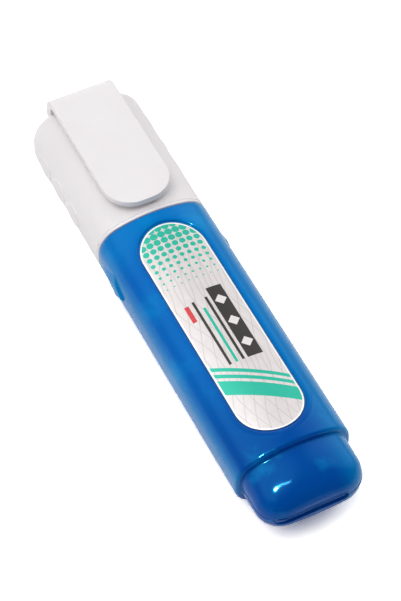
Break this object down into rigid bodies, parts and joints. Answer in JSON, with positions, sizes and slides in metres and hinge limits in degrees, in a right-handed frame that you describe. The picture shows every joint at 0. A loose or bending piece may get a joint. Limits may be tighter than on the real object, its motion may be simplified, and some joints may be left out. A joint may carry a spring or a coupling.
{
  "type": "correction pen",
  "caption": "Squeeze-bottle correction pen, closed: pillow-section barrel with a recessed foil label, and a domed pull-off cap with pocket clip over a metal tip closed by a sprung needle.",
  "frame": {"origin": "on the table under the middle of the pen's overall length and width", "axes": "+Y along the pen from the tail to the cap, +X across the width, +Z out of the label and clip side"},
  "size_m": [0.0272, 0.1156, 0.0198],
  "materials": {
    "blue_polypropylene": "glossy",
    "white_polypropylene": "satin",
    "silver_foil": "printed foil",
    "white_polyethylene": "matt",
    "natural_acetal": "matt",
    "elastomer": "matt",
    "nickel_silver": "turned",
    "stainless_wire": "drawn",
    "polished_steel": "polished"
  },
  "bodies": {
    "bottle": {"barrel": "blue_polypropylene", "front_label": "silver_foil", "nozzle": "white_polyethylene", "nozzle_gasket": "elastomer", "metal_tip": "nickel_silver", "spring_retainer": "natural_acetal", "valve_spring": "stainless_wire"},
    "cap": {"cap": "white_polypropylene", "inner_cap": "white_polyethylene", "tip_seal": "elastomer"},
    "needle": {"valve_needle": "stainless_wire", "needle_plunger": "natural_acetal"},
    "ball": {"mixing_ball": "polished_steel"}
  },
  "joints": [
    {"name": "cap_pull", "type": "slide", "parent": "bottle", "child": "cap", "axis": [0, 1, 0], "range_m": [0, 0.045]},
    {"name": "needle_press", "type": "slide", "parent": "bottle", "child": "needle", "axis": [0, -1, 0], "range_m": [0, 0.0005], "stiffness_N_per_m": 300, "springref_m": -0.0005, "deforming": ["valve_spring"]},
    {"name": "ball_roll", "type": "slide", "parent": "bottle", "child": "ball", "axis": [0, 1, 0], "range_m": [-0.0076, 0.0491]}
  ]
}
